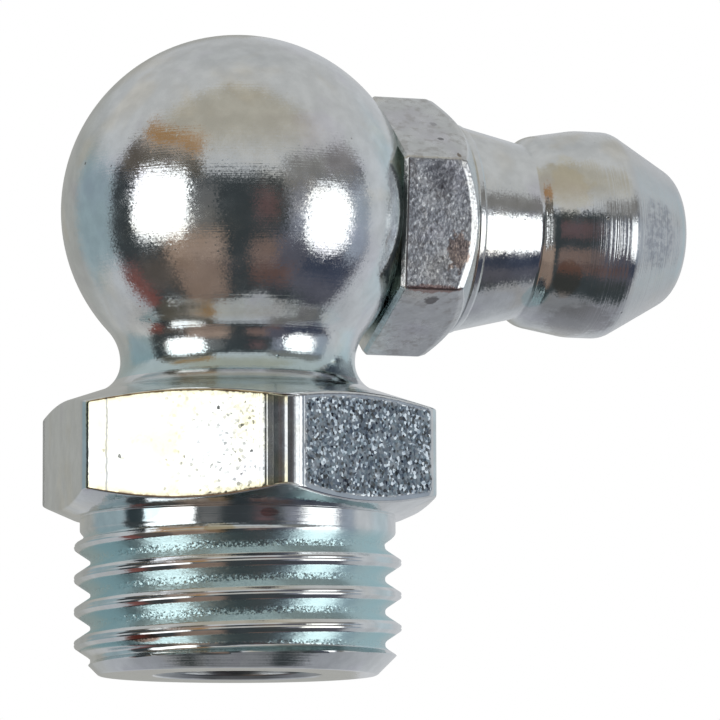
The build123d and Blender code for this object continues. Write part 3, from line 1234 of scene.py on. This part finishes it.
def hex_zinc(scene):
    """Plated spanner hex: bright drawn flats, one of them coarsely crystalline."""
    finish = scene.nipple_finish
    body = scene.nipple_body
    material, tree, shader, point = metal_material("Hex zinc", finish.zinc)
    given = {"Point": point, "Turn": body.hex_turn}
    place = effect(tree, "Hex flats", flats_group, given)
    inside = inside_flat(tree, body, place)
    on_flat = ramp(tree, inside, 0.0, 0.05)
    on_front = near_flat(tree, place, FRONT_FLAT)
    waver = 0.16
    ragged = noise(tree, point, 2.5, 3.0)
    margin = maths(tree, "MULTIPLY_ADD", ragged, waver, -waver / 2)
    shifted = plus(tree, place["Across"], margin)
    coarse = crystal_field(tree, place, inside, shifted, margin)
    coat = film(tree, finish, point, 0.5)
    front = times(tree, on_front, on_flat)
    tint = front_tints(tree, coat["Color"], point, front, inside, shifted, ragged)

    # both flats fall away to the corner between them and carry the marks of drawing there
    fall_start = 2.4
    fall_curve = -0.25
    mark_depth = 0.01
    leading = times(tree, place["Across"], maths(tree, "MULTIPLY_ADD", on_front, 2.0, -1.0))
    fall = maths(tree, "MAXIMUM", minus(tree, leading, fall_start), 0.0)
    drawn = lines(tree, place["Across"], 9.0, 2.0)
    marks = times(tree, drawn, ramp(tree, leading, 2.1, 2.6, 0.0, mark_depth))
    height = plus(tree, times(tree, fall, fall, fall_curve), marks)
    normal = ridged(tree, times(tree, height, on_flat))
    worn = times(tree, ramp(tree, leading, fall_start, 2.9), 0.16)
    rough = plus(tree, drifting(tree, coat["Cloud"], 0.06, 0.10), worn)

    fine_tilt, coarse_tilt = 0.012, 0.30
    dark, light = (0.17, 0.21, 0.25), (0.38, 0.43, 0.47)
    tilt = maths(tree, "MULTIPLY_ADD", coarse, coarse_tilt, fine_tilt)
    facets = crystals(tree, point, normal, 0.085, tilt)
    lightness = plus(tree, facets["Shade"], ramp(tree, ragged, 0.35, 0.65, -0.3, 0.3))
    tint = blended(tree, coarse, tint, blended(tree, lightness, dark, light))
    surface = {"Base Color": tint, "Roughness": rough, "Normal": facets["Normal"]}
    feed(tree, shader.inputs, surface)
    return material


def collar_zinc(scene):
    """Plated collar of the lubrication head, dull and grainy from its blank."""
    finish = scene.nipple_finish
    material, tree, shader, point = metal_material("Collar zinc", finish.zinc)
    coat = film(tree, finish, point, 0.5)
    blotches = ramp(tree, noise(tree, point, 2.6, 5.0, 0.65), 0.48, 0.66, 0.1, 0.6)
    tint = blended(tree, blotches, coat["Color"], (0.46, 0.45, 0.43))

    # a pit in a grey smudge on the front flat
    stain = partial(stained, tree, point, ragged=0.5, grain=5.0)
    grey = (0.25, 0.25, 0.27)
    tint = stain(tint, (5.37, -3.59, 9.98), (0.10, 0.4, 0.10), 0.9, finish.pit)
    tint = stain(tint, (5.39, -3.62, 10.25), (0.45, 0.5, 0.55), 0.6, grey)
    # rust low on that flat, along its bottom edge and under it
    tint = stain(tint, (6.00, -3.45, 8.00), (0.38, 0.5, 0.60), 0.7, (0.40, 0.27, 0.20))
    tint = stain(tint, (5.20, -3.25, 6.90), (0.90, 0.3, 0.14), 0.7, (0.42, 0.24, 0.20))
    tint = stain(tint, (5.35, -2.75, 6.60), (0.20, 0.5, 0.12), 0.8, (0.16, 0.15, 0.15))
    # nicks on the flat above and on the lip
    tint = stain(tint, (5.70, -2.69, 11.62), (0.10, 0.2, 0.07), 0.8, (0.16, 0.16, 0.17))
    tint = stain(tint, (5.74, -1.86, 12.21), (0.12, 0.2, 0.09), 0.5, grey)
    tint = stain(tint, (5.98, -3.53, 11.01), (0.06, 0.2, 0.12), 0.8, (0.20, 0.15, 0.10))

    skin_depth = 0.010
    normal = ridged(tree, noise(tree, point, 7.0, 3.0), skin_depth)
    facets = crystals(tree, point, normal, size=0.08, tilt=0.032)
    rough = drifting(tree, coat["Cloud"], 0.20, 0.28)
    surface = {"Base Color": tint, "Roughness": rough, "Normal": facets["Normal"]}
    feed(tree, shader.inputs, surface)
    return material


def thread_zinc(scene):
    """Plated rolled thread: rubbed crests over greenish blue, rough grooves."""
    finish = scene.nipple_finish
    thread = scene.nipple_thread
    material, tree, shader, point = metal_material("Thread zinc", finish.zinc)
    coat = film(tree, finish, point, 0.4)
    parts = split(tree, point)
    level = joined(tree, parts["X"], parts["Y"])
    radius = vectors(tree, "LENGTH", level)
    end_start, end_full = -4.02, -4.12
    rubbed, grooved = 4.87, 4.79
    root_start, root_full = 4.555, 4.515
    plain = ramp(tree, parts["Z"], thread.fade_low / MM, thread.fade_high / MM)
    end = ramp(tree, parts["Z"], end_start, end_full)
    rolled = minus(tree, 1.0, maths(tree, "MAXIMUM", plain, end))
    groove = times(tree, ramp(tree, radius, rubbed, grooved), rolled)
    root = times(tree, groove, ramp(tree, radius, root_start, root_full))
    tint = tinted(tree, coat["Color"], groove, 0.9, finish.teal)

    # rust at the shank's end, then red, straw and blue stains where the thread runs out
    stain = partial(stained, tree, point, ragged=0.2, grain=3.0)
    tint = stain(tint, (-3.95, -3.04, -3.90), (0.65, 0.7, 0.12), 0.85, (0.30, 0.17, 0.12))
    tint = stain(tint, (-0.52, -4.80, -0.20), (0.30, 0.4, 0.14), 0.6, (0.50, 0.25, 0.22))
    tint = stain(tint, (-2.00, -4.46, -0.66), (0.60, 0.5, 0.16), 0.7, (0.55, 0.48, 0.30))
    tint = stain(tint, (-3.90, -2.90, -0.10), (0.60, 0.9, 0.35), 0.6, (0.36, 0.54, 0.60))

    # the plating's small steps on the flanks face outwards more than the flanks do
    ring_depth = 0.003
    groove_push, rolled_push = 3.2, 0.7
    crest_tilt, groove_tilt, root_tilt = 0.006, 0.022, 0.10
    crest_rough, groove_rough = 0.08, 0.20
    normal = ridged(tree, turning(tree, point, parts["Z"], spacing=0.05), ring_depth)
    push = times(tree, rolled, rolled_push)
    push = maths(tree, "MULTIPLY_ADD", groove, groove_push, push)
    outwards = scaled(tree, vectors(tree, "NORMALIZE", level), push)
    normal = vectors(tree, "NORMALIZE", vectors(tree, "ADD", normal, outwards))
    tilt = maths(tree, "MULTIPLY_ADD", groove, groove_tilt, crest_tilt)
    tilt = maths(tree, "MULTIPLY_ADD", root, root_tilt, tilt)
    facets = crystals(tree, point, normal, 0.05, tilt, rise=1.6)
    rough = maths(tree, "MULTIPLY_ADD", groove, groove_rough, crest_rough)
    surface = {"Base Color": tint, "Roughness": rough, "Normal": facets["Normal"]}
    feed(tree, shader.inputs, surface)
    return material


def bore_zinc(scene):
    """Thin dull plating inside the grease way."""
    finish = scene.nipple_finish
    material, tree, shader, point = metal_material("Bore zinc", finish.zinc)
    coat = film(tree, finish, point, 0.3)
    dull = blended(tree, 1.0, coat["Color"], (0.55, 0.56, 0.57), "MULTIPLY")
    ring_depth = 0.006
    rings = turning(tree, point, split(tree, point)["Z"], spacing=0.12)
    normal = ridged(tree, rings, ring_depth)
    feed(tree, shader.inputs, {"Base Color": dull, "Roughness": 0.3, "Normal": normal})
    return material


def bare_steel(label, shade, grain, gloss, light):
    """Bare steel whose roughness and lightness drift between two values each."""
    material, tree, shader, point = metal_material(label, shade)
    haze = noise(tree, point, grain, 3.0)
    tint = blended(tree, 1.0, shade, drifting(tree, haze, *light), "MULTIPLY")
    feed(tree, shader.inputs, {"Base Color": tint, "Roughness": drifting(tree, haze, *gloss)})
    return material


# ---- studio ----


class NippleStudio(bpy.types.PropertyGroup):
    """Camera, light tent, lamp and floor."""

    turn: degrees("Camera turn", 17.59, "Turn of the camera from square to the head")
    distance: millimetres("Camera distance", 160.0, "Shank axis to the camera")
    height: millimetres("Camera height", -13.55, "Camera above the hex's underside")
    yaw: degrees("Yaw", 1.345, "Camera aim to the right of the shank")
    pitch: degrees("Pitch", 6.57, "Camera aim above level")
    roll: degrees("Roll", -0.20, "Camera roll")
    lens: FloatProperty(
        name="Lens", description="Focal length in millimetres", default=262.3, min=20.0
    )
    window: FloatProperty(name="Windows", description="Brightness of the softboxes", default=1.75)
    floor_size: millimetres("Floor size", 400.0, "Width of the studio floor")
    lamp_size: millimetres("Lamp size", 90.0, "Width of the overhead lamp")
    lamp_power: FloatProperty(
        name="Lamp power", description="Power of the overhead lamp in watts", default=0.12
    )


def camera_axes(studio):
    """Right, up and back directions of the camera."""
    ahead = Vector((math.sin(studio.turn), math.cos(studio.turn), 0))
    aside = Vector((math.cos(studio.turn), -math.sin(studio.turn), 0))
    level = ahead * math.cos(studio.yaw) + aside * math.sin(studio.yaw)
    right = aside * math.cos(studio.yaw) - ahead * math.sin(studio.yaw)
    forward = level * math.cos(studio.pitch) + Vector((0, 0, math.sin(studio.pitch)))
    up = right.cross(forward)
    rolled_right = right * math.cos(studio.roll) + up * math.sin(studio.roll)
    rolled_up = up * math.cos(studio.roll) - right * math.sin(studio.roll)
    return rolled_right, rolled_up, -forward


def add_camera(scene, studio):
    """The camera, looking up a little at the nipple."""
    right, up, back = camera_axes(studio)
    full_frame = 36.0
    lens = bpy.data.cameras.new("Camera")
    lens.lens = studio.lens
    lens.sensor_width = full_frame
    lens.clip_start = 1 * MM
    camera = bpy.data.objects.new("Camera", lens)
    scene.collection.objects.link(camera)
    turned = Matrix((right, up, back)).transposed().to_4x4()
    place = Vector((-math.sin(studio.turn), -math.cos(studio.turn), 0)) * studio.distance
    place.z = studio.height
    camera.matrix_world = Matrix.Translation(place) @ turned
    scene.camera = camera


def card(tree, across, above, wide, high, soft):
    """Mask of a card in the tent, between two turns and two heights in degrees."""
    return times(
        tree,
        ramp(tree, across, wide[0] - soft, wide[0] + soft),
        ramp(tree, across, wide[1] + soft, wide[1] - soft),
        ramp(tree, above, high[0] - soft, high[0] + soft),
        ramp(tree, above, high[1] + soft, high[1] - soft),
    )


def softbox(tree, across, above, wide, high, squareness, soft):
    """Mask of a softbox with round corners, between two turns and two heights in degrees."""
    total = 0.0
    for value, (low, top) in ((across, wide), (above, high)):
        away = over(tree, minus(tree, value, (low + top) / 2), (top - low) / 2)
        away = maths(tree, "POWER", maths(tree, "ABSOLUTE", away), squareness)
        total = plus(tree, away, total)
    reach = maths(tree, "POWER", total, 1 / squareness)
    return ramp(tree, reach, 1 + soft, 1 - soft)


def tent_walls(tree, above):
    """Walls of the tent, greyer overhead and darker towards the table and under it."""
    wall, roof = (0.57, 0.58, 0.60), (0.545, 0.54, 0.535)
    table, under = (0.33, 0.335, 0.36), (0.22, 0.22, 0.23)
    walls = blended(tree, ramp(tree, above, 15.0, 50.0), wall, roof)
    walls = blended(tree, ramp(tree, above, -20.0, -60.0), walls, table)
    return blended(tree, ramp(tree, above, -60.0, -85.0), walls, under)


def tent_cards(tree, across, above, painted):
    """Cards hung in the tent: each has its turns, heights, softness and colour."""

    def paint(wide, high, soft, shade):
        nonlocal painted
        mask = card(tree, across, above, wide, high, soft)
        painted = blended(tree, mask, painted, shade)

    # grey and cream sheets overhead and behind
    paint((-75, 75), (42, 95), 14, (0.455, 0.42, 0.355))
    paint((150, 190), (35, 70), 12, (0.49, 0.49, 0.49))
    paint((-190, -150), (35, 70), 12, (0.49, 0.49, 0.49))
    paint((-190, -112), (-25, 25), 12, (0.39, 0.39, 0.37))
    paint((118, 142), (-25, 25), 8, (0.50, 0.575, 0.615))

    # dark room in front, its lighter left side and the beams above it
    paint((-128, -88), (-22, 20), 6, (0.30, 0.38, 0.41))
    paint((-90, 95), (-75, 24), 3, (0.046, 0.054, 0.058))
    paint((-88, -22), (20, 35), 3, (0.12, 0.105, 0.085))
    paint((36, 92), (15, 33), 5, (0.22, 0.21, 0.20))
    paint((-84, -24), (37, 48), 4, (0.37, 0.21, 0.09))
    paint((-28, -12), (-15, 15), 4, (0.15, 0.15, 0.15))
    paint((14, 27), (-6, 13), 4, (0.13, 0.085, 0.087))

    # bench, with warm and dark things on it, low down
    paint((26, 97), (-50, -14), 6, (0.10, 0.10, 0.125))
    paint((52, 92), (-37, -25), 4, (0.045, 0.055, 0.085))
    paint((-50, -8), (-32, -14), 5, (0.35, 0.26, 0.21))
    paint((-50, -8), (-60, -30), 6, (0.25, 0.18, 0.145))
    paint((12, 30), (-34, -18), 4, (0.20, 0.14, 0.12))
    paint((12, 44), (-48, -34), 4, (0.13, 0.08, 0.07))
    paint((-76, -50), (-46, -26), 5, (0.10, 0.085, 0.075))
    paint((-94, -78), (-52, -26), 4, (0.20, 0.08, 0.07))

    # glow round the right softbox
    paint((36, 94), (-15, 15), 6, (0.26, 0.27, 0.32))
    paint((82, 97), (-22, 10), 4, (0.34, 0.38, 0.44))
    return painted


def paint_world(scene, studio):
    """A pale tent with two softboxes either side of a dark front, white behind the nipple."""
    world = bpy.data.worlds.new("Tent")
    scene.world = world
    world.use_nodes = True
    tree = world.node_tree
    tree.nodes.clear()
    ray = tree.nodes.new("ShaderNodeTexCoord").outputs["Generated"]
    right, up, back = camera_axes(studio)
    x = vectors(tree, "DOT_PRODUCT", ray, tuple(right))
    y = vectors(tree, "DOT_PRODUCT", ray, tuple(back))
    z = vectors(tree, "DOT_PRODUCT", ray, tuple(up))
    across = maths(tree, "DEGREES", maths(tree, "ARCTAN2", x, y))
    above = maths(tree, "DEGREES", maths(tree, "ARCSINE", z))
    shake = 6.0  # degrees by which the cards' edges waver
    wobble = maths(tree, "MULTIPLY_ADD", noise(tree, ray, 3.0, 3.0), 2 * shake, -shake)
    loose_across = plus(tree, across, wobble)
    loose_above = plus(tree, above, wobble)
    painted = tent_cards(tree, loose_across, loose_above, tent_walls(tree, above))
    left_box = softbox(tree, across, above, (-71, -30.5), (-16, 23), squareness=4.0, soft=0.05)
    right_box = softbox(tree, across, above, (47, 81), (-23, 13), squareness=2.6, soft=0.12)
    windows = plus(tree, left_box, right_box)
    painted = blended(tree, windows, painted, (studio.window,) * 3)

    path = tree.nodes.new("ShaderNodeLightPath")
    shown = blended(tree, path.outputs["Is Camera Ray"], painted, (1.0, 1.0, 1.0))
    light = node(tree, "ShaderNodeBackground", {"Color": shown})
    output = tree.nodes.new("ShaderNodeOutputWorld")
    tree.links.new(light.outputs[0], output.inputs["Surface"])


def floor_material(finish):
    """Pale matt floor, clear from below and to what the metal mirrors."""
    material = bpy.data.materials.new("Studio floor")
    material.use_nodes = True
    tree = material.node_tree
    tree.nodes.clear()
    matt = {"Base Color": finish.floor, "Roughness": 0.9}
    shader = node(tree, "ShaderNodeBsdfPrincipled", matt)
    clear = tree.nodes.new("ShaderNodeBsdfTransparent")
    side = tree.nodes.new("ShaderNodeNewGeometry")
    path = tree.nodes.new("ShaderNodeLightPath")
    hidden = maths(tree, "MAXIMUM", side.outputs["Backfacing"], path.outputs["Is Glossy Ray"])
    choices = {0: hidden, 1: shader.outputs[0], 2: clear.outputs[0]}
    choice = node(tree, "ShaderNodeMixShader", choices)
    output = tree.nodes.new("ShaderNodeOutputMaterial")
    tree.links.new(choice.outputs[0], output.inputs["Surface"])
    return material


def add_floor(scene, studio):
    """A pale floor under the shank's end."""
    half = studio.floor_size / 2
    ground = MOUNTS["shank_end"]["pos_m"][2]
    mesh = bpy.data.meshes.new("studio_floor")
    corners = [(x * half, y * half, ground) for x, y in ((-1, -1), (1, -1), (1, 1), (-1, 1))]
    mesh.from_pydata(corners, [], [(0, 1, 2, 3)])
    mesh.materials.append(floor_material(scene.nipple_finish))
    floor = bpy.data.objects.new("studio_floor", mesh)
    scene.collection.objects.link(floor)


def add_lamp(scene, studio):
    """One soft lamp overhead, for the shadow on the floor."""
    light = bpy.data.lights.new("Overhead", "AREA")
    light.shape = "DISK"
    light.size = studio.lamp_size
    light.energy = studio.lamp_power
    lamp = bpy.data.objects.new("Overhead", light)
    lamp.location = (-60 * MM, -40 * MM, 160 * MM)
    lamp.rotation_euler = (-lamp.location).to_track_quat("-Z", "Y").to_euler()
    lamp.visible_glossy = False
    lamp.visible_camera = False
    scene.collection.objects.link(lamp)


class NIPPLE_OT_stage(bpy.types.Operator):
    """Set up the camera, the light tent and the pale floor"""

    bl_idname = "nipple.stage"
    bl_label = "Studio"

    def execute(self, context):
        scene = context.scene
        studio = scene.nipple_studio
        scene.view_settings.view_transform = "Standard"
        add_camera(scene, studio)
        paint_world(scene, studio)
        add_floor(scene, studio)
        add_lamp(scene, studio)
        return {"FINISHED"}


class NIPPLE_PT_panel(bpy.types.Panel):
    """Buttons that make each piece, in order"""

    bl_label = "Grease nipple"
    bl_idname = "NIPPLE_PT_panel"
    bl_space_type = "VIEW_3D"
    bl_region_type = "UI"
    bl_category = "Grease nipple"

    def draw(self, context):
        for operator in OPERATORS:
            self.layout.operator(operator.bl_idname)


GROUPS = {
    "nipple_body": NippleBody,
    "nipple_thread": NippleThread,
    "nipple_head": NippleHead,
    "nipple_finish": NippleFinish,
    "nipple_studio": NippleStudio,
}
OPERATORS = (
    NIPPLE_OT_angle_body,
    NIPPLE_OT_lubrication_head,
    NIPPLE_OT_check_valve,
    NIPPLE_OT_stage,
)


def register():
    """Registers the add-on's classes and the scene's settings."""
    for kind in (*GROUPS.values(), *OPERATORS, NIPPLE_PT_panel):
        bpy.utils.register_class(kind)
    for name, kind in GROUPS.items():
        setattr(bpy.types.Scene, name, PointerProperty(type=kind))


def unregister():
    """Takes the classes and settings out again."""
    for name in GROUPS:
        delattr(bpy.types.Scene, name)
    for kind in (NIPPLE_PT_panel, *reversed(OPERATORS), *reversed(GROUPS.values())):
        bpy.utils.unregister_class(kind)


def main():
    """Makes every piece and the studio."""
    register()
    bpy.ops.nipple.angle_body()
    bpy.ops.nipple.lubrication_head()
    bpy.ops.nipple.check_valve()
    bpy.ops.nipple.stage()


if __name__ == "__main__":
    main()
